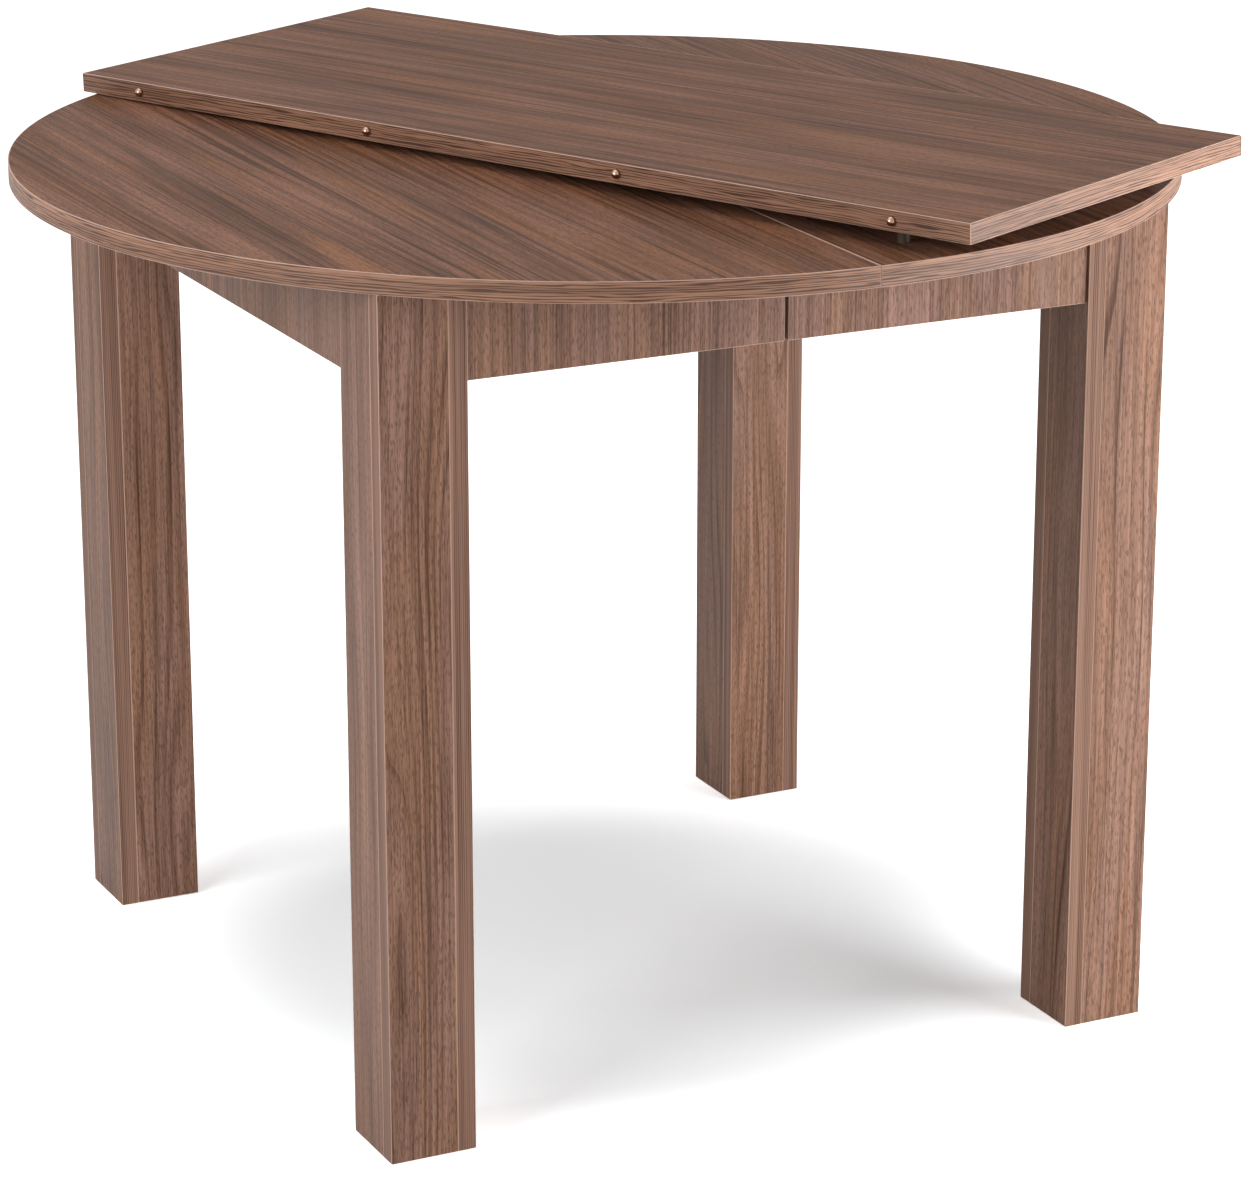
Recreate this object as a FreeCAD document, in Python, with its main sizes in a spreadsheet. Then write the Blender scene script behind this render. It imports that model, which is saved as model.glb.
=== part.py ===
import FreeCAD, Part
import math
import os
import Sketcher

# Round extending table in laminated chipboard.  The top is two half discs that meet on the
# plane X = 0.  Each half stands on its own pair of box legs and its own U of aprons, and the
# halves are pulled apart along X on two telescopic runners, to let in a separate leaf.
# Millimetres, +Z up.  The origin is on the floor, under the middle of the closed top.

os.makedirs("parts", exist_ok=True)
doc = FreeCAD.newDocument("RoundExtendingTable")
sheet = doc.addObject("Spreadsheet::Sheet", "Sizes")

SIZES = {
    # The top and its edge bands.
    "top_diameter": 1000,
    "table_height": 740,
    "top_thickness": 17,
    "band_thickness": 1,
    "band_joint": 0.05,
    "seam_gap": 0.4,
    # The box legs, each of four boards lapped round in turn.
    "leg_width": 75,
    "leg_board": 16,
    "legs_over_x": 710,
    "legs_over_y": 704,
    "leg_block_height": 90,
    "block_play": 0.2,
    "foot_depth": 22,
    "foot_proud": 1,
    # The aprons.
    "apron_height": 77,
    "apron_board": 16,
    "apron_inset": 3,
    "apron_gap": 3.3,
    # The loose leaf, as it lies on the closed top.
    "leaf_width": 370,
    "leaf_turn": -67.3,
    "leaf_rise_long": 0.73,
    "leaf_rise_cross": 1.49,
    "leaf_lift": 12,
    "leaf_middle_x": 43.5,
    "leaf_middle_y": 12,
    "spacer_diameter": 10,
    "spacer_stock": 48,
    "spacer_from_end": 80,
    "spacer_from_edge": 20,
    # The alignment pins of the seam and of the leaf.
    "pin_count": 4,
    "pin_pitch": 283,
    "pin_diameter": 8,
    "pin_reach": 5,
    "pin_embed": 20,
    "pin_seat_play": 0.05,
    "pin_hole_play": 0.1,
    "pin_hole_spare": 3,
    # The wooden bearers under the top and the steel runners between them.
    "bearer_offset": 262,
    "bearer_width": 25,
    "bearer_depth": 45,
    "bearer_relief": 1,
    "relief_start": 5,
    "bearer_lead": 12,
    "leaf_clearance": 10,
    "runner_overlap": 70,
    "runner_drop": 23,
    "runner_height": 40,
    "runner_depth": 17,
    "runner_steel": 1.5,
    "runner_lip": 3.5,
    "runner_play": 0.5,
    "runner_rib": 16,
    "runner_rib_reach": 2,
    # Steel angles and screws.
    "angle_arm": 25,
    "angle_width": 20,
    "angle_steel": 2,
    "angle_hole": 15,
    "angle_along": 120,
    "angle_rise": 14,
    "screw_head": 7,
    "screw_shank": 3.5,
    "screw_head_depth": 1.5,
    "angle_screw_length": 13,
    "runner_screw_length": 20,
    "bearer_screw_length": 55,
    "bearer_screw_margin": 45,
    "runner_screw_margin": 40,
    "screw_stagger": 17,
}
for row, (name, value) in enumerate(SIZES.items(), start=1):
    sheet.set(f"A{row}", str(value))
    sheet.setAlias(f"A{row}", name)
doc.recompute()

# Places that several pieces share, as formulas of the sheet.
UNDER_TOP = "(Sizes.table_height - Sizes.top_thickness)"
DISC_RADIUS = "(Sizes.top_diameter / 2)"
BOARD_RADIUS = f"({DISC_RADIUS} - Sizes.band_thickness)"
HALF_SEAM = "(Sizes.seam_gap / 2)"
BOARD_EDGE = f"({HALF_SEAM} + Sizes.band_thickness)"
LEG_OUT = {"x": "(Sizes.legs_over_x / 2)", "y": "(Sizes.legs_over_y / 2)"}
LEG_IN = {axis: f"({LEG_OUT[axis]} - Sizes.leg_width)" for axis in "xy"}
APRON_OUT = {axis: f"({LEG_OUT[axis]} - Sizes.apron_inset)" for axis in "xy"}
APRON_IN = {axis: f"({APRON_OUT[axis]} - Sizes.apron_board)" for axis in "xy"}
APRON_BOTTOM = f"({UNDER_TOP} - Sizes.apron_height)"
PIN_HEIGHT = "(Sizes.top_thickness / 2)"
PIN_HOLE = "(Sizes.pin_diameter / 2 + Sizes.pin_hole_play)"
PIN_SEAT = "(Sizes.pin_diameter / 2 + Sizes.pin_seat_play)"
PIN_HOLE_DEPTH = "(Sizes.pin_reach + Sizes.pin_hole_spare)"
RUNNER_LENGTH = "(Sizes.leaf_width + Sizes.leaf_clearance + Sizes.runner_overlap)"
RUNNER_MIDDLE = f"({UNDER_TOP} - Sizes.runner_drop)"

HALVES = {"left": -1, "right": 1}
ENDS = {"front": -1, "back": 1}


def span(sign, near, far):
    """Low and high formulas of a stretch that lies near..far from the middle plane."""
    if sign > 0:
        return (near, far)
    return (f"-({far})", f"-({near})")


def board(label, x_span, y_span, z_span):
    """A straight sawn piece between two formulas along each axis."""
    piece = doc.addObject("Part::Box", label)
    for side, axis, (low, high) in zip(("Length", "Width", "Height"), "xyz", (x_span, y_span, z_span)):
        piece.setExpression(side, f"({high}) - ({low})")
        piece.setExpression(f"Placement.Base.{axis}", low)
    return piece


def group(label, pieces):
    """One node for like pieces that stay separate solids."""
    bundle = doc.addObject("Part::Compound", label)
    bundle.Links = pieces
    return bundle


def origin_plane(body, role):
    """The named origin plane of a body."""
    return next(plane for plane in body.Origin.OriginFeatures if plane.Role == role)


def new_body(label):
    """A PartDesign body whose name is the node's name."""
    return doc.addObject("PartDesign::Body", label)


def new_sketch(body, role, name, offset=None):
    """A sketch on an origin plane of the body, moved along the plane's normal by a formula."""
    sketch = body.newObject("Sketcher::SketchObject", name)
    sketch.AttachmentSupport = [(origin_plane(body, role), "")]
    sketch.MapMode = "FlatFace"
    if offset:
        sketch.setExpression("AttachmentOffset.Base.z", offset)
    return sketch


def place_point(sketch, edge, point, x, y):
    """Ties one point of a sketch edge to two formulas."""
    for kind, formula in (("DistanceX", x), ("DistanceY", y)):
        number = sketch.addConstraint(Sketcher.Constraint(kind, -1, 1, edge, point, 1.0))
        sketch.setExpression(f"Constraints[{number}]", formula)


def draw_outline(sketch, corners):
    """A closed outline of straight edges through corners given as pairs of formulas."""
    first = sketch.GeometryCount
    ring = [FreeCAD.Vector(math.cos(turn), math.sin(turn), 0)
            for turn in (2 * math.pi * step / len(corners) for step in range(len(corners)))]
    for step in range(len(corners)):
        edge = Part.LineSegment(ring[step], ring[(step + 1) % len(corners)])
        sketch.addGeometry(edge, False)
    for step, (x, y) in enumerate(corners):
        after = first + (step + 1) % len(corners)
        sketch.addConstraint(Sketcher.Constraint("Coincident", first + step, 2, after, 1))
        place_point(sketch, first + step, 1, x, y)


def draw_rectangle(sketch, x_span, y_span):
    """A rectangle between two formulas along each axis of the sketch."""
    (left, right), (low, high) = x_span, y_span
    draw_outline(sketch, [(left, low), (right, low), (right, high), (left, high)])


def draw_circle(sketch, x, y, radius):
    """A circle with its centre and radius from formulas."""
    edge = sketch.addGeometry(Part.Circle(FreeCAD.Vector(0, 0, 0), FreeCAD.Vector(0, 0, 1), 1), False)
    place_point(sketch, edge, 3, x, y)
    number = sketch.addConstraint(Sketcher.Constraint("Radius", edge, 1.0))
    sketch.setExpression(f"Constraints[{number}]", radius)


def pad(body, sketch, name, length):
    """Extrudes a sketch along its normal."""
    feature = body.newObject("PartDesign::Pad", name)
    feature.Profile = sketch
    feature.setExpression("Length", length)
    doc.recompute()
    return feature


def pocket(body, sketch, name, length, along_normal):
    """Cuts a sketch into the body and checks that material has gone."""
    before = body.Shape.Volume
    feature = body.newObject("PartDesign::Pocket", name)
    feature.Profile = sketch
    feature.Reversed = along_normal
    feature.setExpression("Length", length)
    doc.recompute()
    if not feature.Shape.Volume < before:
        raise RuntimeError(f"{name} cuts nothing")
    return feature


def drill_pin_row(body, role, name, offset, height, radius, depth, along_normal):
    """Bores the row of pin holes into a straight edge, as a pattern of the first hole."""
    sketch = new_sketch(body, role, f"{name}_sketch", offset)
    draw_circle(sketch, "-(Sizes.pin_count - 1) / 2 * Sizes.pin_pitch", height, radius)
    hole = pocket(body, sketch, f"{name}_first", depth, along_normal)
    row = body.newObject("PartDesign::LinearPattern", f"{name}_row")
    row.Originals = [hole]
    row.Direction = (sketch, ["H_Axis"])
    row.setExpression("Length", "(Sizes.pin_count - 1) * Sizes.pin_pitch")
    row.setExpression("Occurrences", "Sizes.pin_count")
    body.Tip = row
    doc.recompute()


def place(piece, x, y, z, yaw=0, pitch=0, roll=0, base=None):
    """Binds a placement to formulas, on its own or on top of another piece's placement."""
    here = f"placement(vector({x}; {y}; {z}); rotation({yaw}; {pitch}; {roll}))"
    piece.setExpression("Placement", f"{base}.Placement * {here}" if base else here)


def copy_of(master, name, x, y, z, **turn):
    """A linked copy of a standard piece at its own place."""
    link = doc.addObject("App::Link", name)
    link.LinkedObject = master
    place(link, x, y, z, **turn)
    return link


nodes = []

# Half tops: half discs of laminated board, each with an ABS band round the rim and one along
# the seam.  The right half holds the alignment pins and the left half has the holes for them.
for half, side in HALVES.items():
    top = new_body(f"{half}_top")
    disc = new_sketch(top, "XY_Plane", f"{half}_disc")
    draw_circle(disc, "0", "0", BOARD_RADIUS)
    pad(top, disc, f"{half}_board", "Sizes.top_thickness")
    halving = new_sketch(top, "XY_Plane", f"{half}_halving")
    draw_rectangle(halving, span(-side, f"-{BOARD_EDGE}", "Sizes.top_diameter"),
                   ("-Sizes.top_diameter", "Sizes.top_diameter"))
    pocket(top, halving, f"{half}_saw_cut", "Sizes.top_thickness", True)
    hole = PIN_HOLE if half == "left" else PIN_SEAT
    depth = PIN_HOLE_DEPTH if half == "left" else "Sizes.pin_embed"
    drill_pin_row(top, "YZ_Plane", f"{half}_top_pins", None, PIN_HEIGHT, hole,
                  f"{HALF_SEAM} + {depth}", side > 0)

    rim = new_body(f"{half}_rim_band")
    ring = new_sketch(rim, "XY_Plane", f"{half}_ring")
    draw_circle(ring, "0", "0", DISC_RADIUS)
    draw_circle(ring, "0", "0", BOARD_RADIUS)
    pad(rim, ring, f"{half}_ring_band", "Sizes.top_thickness")
    trimming = new_sketch(rim, "XY_Plane", f"{half}_trimming")
    draw_rectangle(trimming, span(-side, f"-{HALF_SEAM}", "Sizes.top_diameter"),
                   ("-Sizes.top_diameter", "Sizes.top_diameter"))
    pocket(rim, trimming, f"{half}_ring_cut", "Sizes.top_thickness", True)

    seam = new_body(f"{half}_seam_band")
    strip = new_sketch(seam, "YZ_Plane", f"{half}_strip",
                       HALF_SEAM if side > 0 else f"-{BOARD_EDGE}")
    seam_end = f"({BOARD_RADIUS} - Sizes.band_joint)"
    draw_rectangle(strip, (f"-{seam_end}", seam_end), ("0", "Sizes.top_thickness"))
    pad(seam, strip, f"{half}_seam_strip", "Sizes.band_thickness")
    drill_pin_row(seam, "YZ_Plane", f"{half}_seam_pins", None, PIN_HEIGHT, hole,
                  f"{BOARD_EDGE} + Sizes.band_thickness", side > 0)
    for piece in (top, rim, seam):
        piece.setExpression("Placement.Base.z", UNDER_TOP)
        nodes.append(piece)

# Alignment pins: bronzed steel dowels with a domed end, glued into the edge that they stand in.
pin_shank = doc.addObject("Part::Cylinder", "pin_shank")
pin_shank.setExpression("Radius", "Sizes.pin_diameter / 2")
pin_shank.setExpression("Height", "Sizes.pin_embed + Sizes.pin_reach - Sizes.pin_diameter / 2")
pin_shank.setExpression("Placement.Base.z", "-Sizes.pin_embed")
pin_dome = doc.addObject("Part::Sphere", "pin_dome")
pin_dome.setExpression("Radius", "Sizes.pin_diameter / 2")
pin_dome.setExpression("Placement.Base.z", "Sizes.pin_reach - Sizes.pin_diameter / 2")
pin = doc.addObject("Part::Fuse", "pin")
pin.Base = pin_shank
pin.Tool = pin_dome
pin.Refine = True
pin_steps = [f"({number} - (Sizes.pin_count - 1) / 2) * Sizes.pin_pitch"
             for number in range(SIZES["pin_count"])]
seam_pins = [copy_of(pin, f"seam_pin_{number}", HALF_SEAM, step,
                     f"{UNDER_TOP} + {PIN_HEIGHT}", pitch=-90)
             for number, step in enumerate(pin_steps)]
nodes.append(group("seam_pins", seam_pins))

# Legs: square boxes of four boards, each board lapping the edge of the next one.  Inside each
# leg, a hardwood block at the head takes the screws, and a plastic foot stands just proud.
LEG_BOARDS = {
    "face": (("0", "Sizes.leg_width - Sizes.leg_board"), ("0", "Sizes.leg_board")),
    "inner": (("Sizes.leg_width - Sizes.leg_board", "Sizes.leg_width"),
              ("0", "Sizes.leg_width - Sizes.leg_board")),
    "rear": (("Sizes.leg_board", "Sizes.leg_width"),
             ("Sizes.leg_width - Sizes.leg_board", "Sizes.leg_width")),
    "outer": (("0", "Sizes.leg_board"), ("Sizes.leg_board", "Sizes.leg_width")),
}


def leg_span(sign, axis, inward):
    """A stretch of a leg, measured inward from the leg's outer face."""
    near, far = inward
    return span(sign, f"{LEG_OUT[axis]} - ({far})", f"{LEG_OUT[axis]} - ({near})")


CORE = ("Sizes.leg_board + Sizes.block_play",
        "Sizes.leg_width - Sizes.leg_board - Sizes.block_play")
for half, side in HALVES.items():
    blocks = []
    feet = []
    for end, way in ENDS.items():
        for name, (along_x, along_y) in LEG_BOARDS.items():
            nodes.append(board(f"leg_{end}_{half}_{name}", leg_span(side, "x", along_x),
                               leg_span(way, "y", along_y), ("Sizes.foot_proud", UNDER_TOP)))
        core_x = leg_span(side, "x", CORE)
        core_y = leg_span(way, "y", CORE)
        blocks.append(board(f"block_{end}_{half}", core_x, core_y,
                            (f"{UNDER_TOP} - Sizes.leg_block_height", UNDER_TOP)))
        feet.append(board(f"foot_{end}_{half}", core_x, core_y, ("0", "Sizes.foot_depth")))
    nodes.append(group(f"{half}_leg_blocks", blocks))
    nodes.append(group(f"{half}_foot_pads", feet))

# Aprons: one whole board across each end of the table, and half boards along the front and
# the back that stop short of each other under the seam.
APRON_HEIGHTS = (APRON_BOTTOM, UNDER_TOP)
for half, side in HALVES.items():
    nodes.append(board(f"{half}_end_apron", span(side, APRON_IN["x"], APRON_OUT["x"]),
                       (f"-{LEG_IN['y']}", LEG_IN["y"]), APRON_HEIGHTS))
    for end, way in ENDS.items():
        nodes.append(board(f"{end}_{half}_apron", span(side, "Sizes.apron_gap / 2", LEG_IN["x"]),
                           span(way, APRON_IN["y"], APRON_OUT["y"]), APRON_HEIGHTS))

# Bearers: hardwood rails screwed up under each half.  Each one runs on past the seam, where
# its top is planed down to pass under the other half, and the runner lies between the two.
RUNNER_SIDE = {"left": "(Sizes.bearer_offset - Sizes.bearer_width)"}
RIB_FACE = f"({RUNNER_SIDE['left']} - Sizes.runner_depth - Sizes.runner_rib_reach)"
RUNNER_SIDE["right"] = RIB_FACE
BEARER_IN = {"left": RUNNER_SIDE["left"], "right": f"({RIB_FACE} - Sizes.bearer_width)"}
REACH = f"({RUNNER_LENGTH} / 2)"
for half, side in HALVES.items():
    for end, way in ENDS.items():
        bearer = new_body(f"{end}_{half}_bearer")
        outline = [
            (APRON_IN["x"], "0"),
            (f"-({REACH} - Sizes.bearer_lead)", "0"),
            (f"-{REACH}", "Sizes.bearer_lead"),
            (f"-{REACH}", "Sizes.bearer_depth - Sizes.bearer_relief"),
            ("Sizes.relief_start", "Sizes.bearer_depth - Sizes.bearer_relief"),
            ("Sizes.relief_start", "Sizes.bearer_depth"),
            (APRON_IN["x"], "Sizes.bearer_depth"),
        ]
        profile = new_sketch(bearer, "XZ_Plane", f"{end}_{half}_bearer_side")
        draw_outline(profile, [(f"{side} * ({x})", z) for x, z in outline])
        pad(bearer, profile, f"{end}_{half}_bearer_rail", "Sizes.bearer_width")
        near = BEARER_IN[half]
        bearer.setExpression("Placement.Base.y",
                             f"-({near})" if way < 0 else f"{near} + Sizes.bearer_width")
        bearer.setExpression("Placement.Base.z", f"{UNDER_TOP} - Sizes.bearer_depth")
        nodes.append(bearer)

# Runners: three rolled steel members, each held in the lips of the one outside it.  The outer
# one is screwed to the left bearer and the rib of the inner one to the right bearer.
STEEL = "Sizes.runner_steel"
OUTER_MOUTH = f"({RUNNER_SIDE['left']} - Sizes.runner_depth)"
MIDDLE_BACK = f"({RUNNER_SIDE['left']} - {STEEL} - Sizes.runner_play)"
MIDDLE_MOUTH = f"({OUTER_MOUTH} + {STEEL} + Sizes.runner_play)"
INNER_BACK = f"({MIDDLE_BACK} - {STEEL} - Sizes.runner_play)"
INNER_WEB = f"({MIDDLE_MOUTH} + {STEEL} + Sizes.runner_play)"
OUTER_HALF = "(Sizes.runner_height / 2)"
MIDDLE_HALF = f"({OUTER_HALF} - {STEEL} - Sizes.runner_play)"
INNER_HALF = f"({MIDDLE_HALF} - {STEEL} - Sizes.runner_play)"


def lipped_channel(back, mouth, half_height):
    """The upper half of a channel section with lips turned in at its mouth, back to mouth."""
    inside = f"{half_height} - {STEEL}"
    lip = f"{inside} - Sizes.runner_lip"
    return [(back, half_height), (mouth, half_height), (mouth, lip), (f"{mouth} + {STEEL}", lip),
            (f"{mouth} + {STEEL}", inside), (f"{back} - {STEEL}", inside)]


RIB_HALF = "Sizes.runner_rib / 2"
RUNNER_SECTIONS = {
    "outer": lipped_channel(RUNNER_SIDE["left"], OUTER_MOUTH, OUTER_HALF),
    "middle": lipped_channel(MIDDLE_BACK, MIDDLE_MOUTH, MIDDLE_HALF),
    "inner": [(RIB_FACE, RIB_HALF), (INNER_WEB, RIB_HALF), (INNER_WEB, INNER_HALF),
              (INNER_BACK, INNER_HALF), (INNER_BACK, f"{INNER_HALF} - {STEEL}"),
              (f"{INNER_WEB} + {STEEL}", f"{INNER_HALF} - {STEEL}")],
}
for end, way in ENDS.items():
    for member, upper in RUNNER_SECTIONS.items():
        rail = new_body(f"{end}_{member}_runner")
        lower = [(y, f"-({z})") for y, z in reversed(upper)]
        section = new_sketch(rail, "YZ_Plane", f"{end}_{member}_section")
        draw_outline(section, [(f"{way} * ({y})", z) for y, z in upper + lower])
        pad(rail, section, f"{end}_{member}_strip", RUNNER_LENGTH)
        rail.setExpression("Placement.Base.x", f"-{REACH}")
        rail.setExpression("Placement.Base.z", RUNNER_MIDDLE)
        nodes.append(rail)


def countersunk_screw(name, length):
    """A screw that points down from the middle of its flat head."""
    head = doc.addObject("Part::Cone", f"{name}_head")
    head.setExpression("Radius1", "Sizes.screw_shank / 2")
    head.setExpression("Radius2", "Sizes.screw_head / 2")
    head.setExpression("Height", "Sizes.screw_head_depth")
    head.setExpression("Placement.Base.z", "-Sizes.screw_head_depth")
    shank = doc.addObject("Part::Cylinder", f"{name}_shank")
    shank.setExpression("Radius", "Sizes.screw_shank / 2")
    shank.setExpression("Height", f"{length} - Sizes.screw_head_depth")
    shank.setExpression("Placement.Base.z", f"-({length})")
    screw = doc.addObject("Part::Fuse", name)
    screw.Base = head
    screw.Tool = shank
    return screw


# Screws that hold the bearers up to the tops, and those that hold the runners to the bearers.
# The middle screw of a bearer stands clear of the runner screw that crosses it.
bearer_screw = countersunk_screw("bearer_screw", "Sizes.bearer_screw_length")
runner_screw = countersunk_screw("runner_screw", "Sizes.runner_screw_length")
LAST_RUNNER_STEP = f"({REACH} - Sizes.runner_screw_margin)"
RUNNER_STEPS = [f"-{LAST_RUNNER_STEP}", "0", LAST_RUNNER_STEP]
BEARER_STEPS = ["Sizes.bearer_screw_margin", f"{LAST_RUNNER_STEP} - Sizes.screw_stagger",
                f"{APRON_IN['x']} - Sizes.bearer_screw_margin"]
RUNNER_WEB = {"left": f"{RUNNER_SIDE['left']} - {STEEL}", "right": f"{INNER_WEB} + {STEEL}"}
for half, side in HALVES.items():
    upward = []
    sideways = []
    for end, way in ENDS.items():
        for number, step in enumerate(BEARER_STEPS):
            upward.append(copy_of(bearer_screw, f"{end}_{half}_bearer_screw_{number}",
                                  f"{side} * ({step})",
                                  f"{way} * ({BEARER_IN[half]} + Sizes.bearer_width / 2)",
                                  f"{UNDER_TOP} - Sizes.bearer_depth", roll=180))
        for number, step in enumerate(RUNNER_STEPS):
            sideways.append(copy_of(runner_screw, f"{end}_{half}_runner_screw_{number}", step,
                                    f"{way} * ({RUNNER_WEB[half]})", RUNNER_MIDDLE,
                                    roll=-90 * side * way))
    nodes.append(group(f"{half}_bearer_screws", upward))
    nodes.append(group(f"{half}_runner_screws", sideways))

# Steel angles: they hold the aprons up to the tops and the legs to the aprons.
angle_flat = doc.addObject("Part::Box", "angle_flat")
angle_flat.setExpression("Length", "Sizes.angle_arm")
angle_flat.setExpression("Height", "Sizes.angle_steel")
angle_flat.setExpression("Placement.Base.z", "-Sizes.angle_steel")
angle_upright = doc.addObject("Part::Box", "angle_upright")
angle_upright.setExpression("Length", "Sizes.angle_steel")
angle_upright.setExpression("Height", "Sizes.angle_arm")
angle_upright.setExpression("Placement.Base.z", "-Sizes.angle_arm")
for arm in (angle_flat, angle_upright):
    arm.setExpression("Width", "Sizes.angle_width")
    arm.setExpression("Placement.Base.y", "-Sizes.angle_width / 2")
angle = doc.addObject("Part::Fuse", "angle")
angle.Base = angle_flat
angle.Tool = angle_upright
angle.Refine = True
angle_screw = countersunk_screw("angle_screw", "Sizes.angle_screw_length")
CORNER_ANGLE_HEIGHT = f"{APRON_BOTTOM} + Sizes.angle_rise"
QUARTER_TURNS = {("left", "front"): 0, ("right", "front"): 90, ("right", "back"): 180,
                 ("left", "back"): -90}
for half, side in HALVES.items():
    places = [(f"{side} * {APRON_IN['x']}", f"{way} * Sizes.angle_along", UNDER_TOP,
               {"yaw": 90 + 90 * side}) for way in ENDS.values()]
    for end, way in ENDS.items():
        places.append((f"{side} * Sizes.angle_along", f"{way} * {APRON_IN['y']}", UNDER_TOP,
                       {"yaw": -90 * way}))
        corner_turn = {"yaw": QUARTER_TURNS[(half, end)], "roll": 90}
        places.append((f"{side} * {APRON_IN['x']}", f"{way} * {LEG_IN['y']}", CORNER_ANGLE_HEIGHT,
                       corner_turn))
        places.append((f"{side} * {LEG_IN['x']}", f"{way} * {APRON_IN['y']}", CORNER_ANGLE_HEIGHT,
                       corner_turn))
    angles = []
    screws = []
    for number, (x, y, z, turn) in enumerate(places):
        angles.append(copy_of(angle, f"{half}_angle_{number}", x, y, z, **turn))
        seat = f"{half}_angle_{number}"
        screws.append(copy_of(angle_screw, f"{seat}_flat_screw", "Sizes.angle_hole", "0",
                              "-Sizes.angle_steel", roll=180, base=seat))
        screws.append(copy_of(angle_screw, f"{seat}_upright_screw", "Sizes.angle_steel", "0",
                              "-Sizes.angle_hole", pitch=90, base=seat))
    nodes.append(group(f"{half}_angles", angles))
    nodes.append(group(f"{half}_angle_screws", screws))

# The loose leaf: a laminated board as long as the seam, with bands on its four edges.  Its
# own frame has its origin in the middle of its underside, X along its length.
LEAF_END = DISC_RADIUS
LEAF_EDGE = "(Sizes.leaf_width / 2)"
leaf = new_body("leaf_board")
leaf_shape = new_sketch(leaf, "XY_Plane", "leaf_outline")
LEAF_CORE_END = f"({LEAF_END} - Sizes.band_thickness)"
LEAF_CORE_EDGE = f"({LEAF_EDGE} - Sizes.band_thickness)"
draw_rectangle(leaf_shape, (f"-{LEAF_CORE_END}", LEAF_CORE_END),
               (f"-{LEAF_CORE_EDGE}", LEAF_CORE_EDGE))
pad(leaf, leaf_shape, "leaf_core", "Sizes.top_thickness")
drill_pin_row(leaf, "XZ_Plane", "leaf_near_pins", LEAF_EDGE, PIN_HEIGHT, PIN_SEAT,
              "Sizes.pin_embed", False)
drill_pin_row(leaf, "XZ_Plane", "leaf_far_holes", f"-{LEAF_EDGE}", PIN_HEIGHT, PIN_HOLE,
              PIN_HOLE_DEPTH, True)
place(leaf, "Sizes.leaf_middle_x", "Sizes.leaf_middle_y", "Sizes.table_height + Sizes.leaf_lift",
      "Sizes.leaf_turn", "-Sizes.leaf_rise_long", "Sizes.leaf_rise_cross")
nodes.append(leaf)

# Edge bands of the leaf: the near one is pierced by the pins, the far one by the pin holes.
for name, way, radius in (("near", -1, PIN_SEAT), ("far", 1, PIN_HOLE)):
    band = new_body(f"leaf_{name}_band")
    strip = new_sketch(band, "XY_Plane", f"leaf_{name}_strip")
    draw_rectangle(strip, (f"-{LEAF_END}", LEAF_END), span(way, LEAF_CORE_EDGE, LEAF_EDGE))
    pad(band, strip, f"leaf_{name}_band_strip", "Sizes.top_thickness")
    drill_pin_row(band, "XZ_Plane", f"leaf_{name}_band_holes", f"{-way} * {LEAF_EDGE}", PIN_HEIGHT,
                  radius, "2 * Sizes.band_thickness", way > 0)
    place(band, 0, 0, 0, base="leaf_board")
    nodes.append(band)
end_bands = []
for side in (-1, 1):
    strip = doc.addObject("Part::Box", f"leaf_end_band_{'right' if side > 0 else 'left'}")
    strip.setExpression("Length", "Sizes.band_thickness")
    strip.setExpression("Width", f"2 * {LEAF_CORE_EDGE}")
    strip.setExpression("Height", "Sizes.top_thickness")
    low, _ = span(side, LEAF_CORE_END, LEAF_END)
    place(strip, low, f"-{LEAF_CORE_EDGE}", 0, base="leaf_board")
    end_bands.append(strip)
nodes.append(group("leaf_end_bands", end_bands))
leaf_pins = [copy_of(pin, f"leaf_pin_{number}", step, f"-{LEAF_EDGE}", PIN_HEIGHT,
                     roll=90, base="leaf_board")
             for number, step in enumerate(pin_steps)]
nodes.append(group("leaf_pins", leaf_pins))

# Clear spacers stuck under the leaf.  Each is as tall as the space under the leaf there, so
# the foot of each one is cut to the level of the top.
below_top = doc.addObject("Part::Box", "below_top")
below_top.setExpression("Length", "2 * Sizes.top_diameter")
below_top.setExpression("Width", "2 * Sizes.top_diameter")
below_top.setExpression("Height", "Sizes.table_height")
below_top.setExpression("Placement.Base.x", "-Sizes.top_diameter")
below_top.setExpression("Placement.Base.y", "-Sizes.top_diameter")
spacers = []
for along in (-1, 1):
    for across in (-1, 1):
        name = f"spacer_{'foot' if along > 0 else 'head'}_{'far' if across > 0 else 'near'}"
        rod = doc.addObject("Part::Cylinder", f"{name}_rod")
        rod.setExpression("Radius", "Sizes.spacer_diameter / 2")
        rod.setExpression("Height", "Sizes.spacer_stock")
        place(rod, f"{along} * ({LEAF_END} - Sizes.spacer_from_end)",
              f"{across} * ({LEAF_EDGE} - Sizes.spacer_from_edge)",
              "-Sizes.spacer_stock", base="leaf_board")
        spacer = doc.addObject("Part::Cut", name)
        spacer.Base = rod
        spacer.Tool = below_top
        spacers.append(spacer)
nodes.append(group("leaf_spacers", spacers))

doc.recompute()
for thing in doc.Objects:
    if "Invalid" in thing.State or "Error" in thing.State:
        raise RuntimeError(f"{thing.Name} failed: {thing.State}")
for piece in nodes:
    if piece.Shape.isNull() or not piece.Shape.isValid():
        raise RuntimeError(f"{piece.Name} has no valid shape")
for piece in nodes:
    piece.Label = piece.Name
    piece.Shape.exportStep(f"parts/{piece.Name}.step")
    box = piece.Shape.BoundBox
    print(f"{piece.Name:28s} solids {len(piece.Shape.Solids):2d} volume {piece.Shape.Volume:12.1f}"
          f"  x {box.XMin:7.1f} {box.XMax:7.1f}  y {box.YMin:7.1f} {box.YMax:7.1f}"
          f"  z {box.ZMin:6.1f} {box.ZMax:6.1f}")
print(len(nodes), "nodes")
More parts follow.
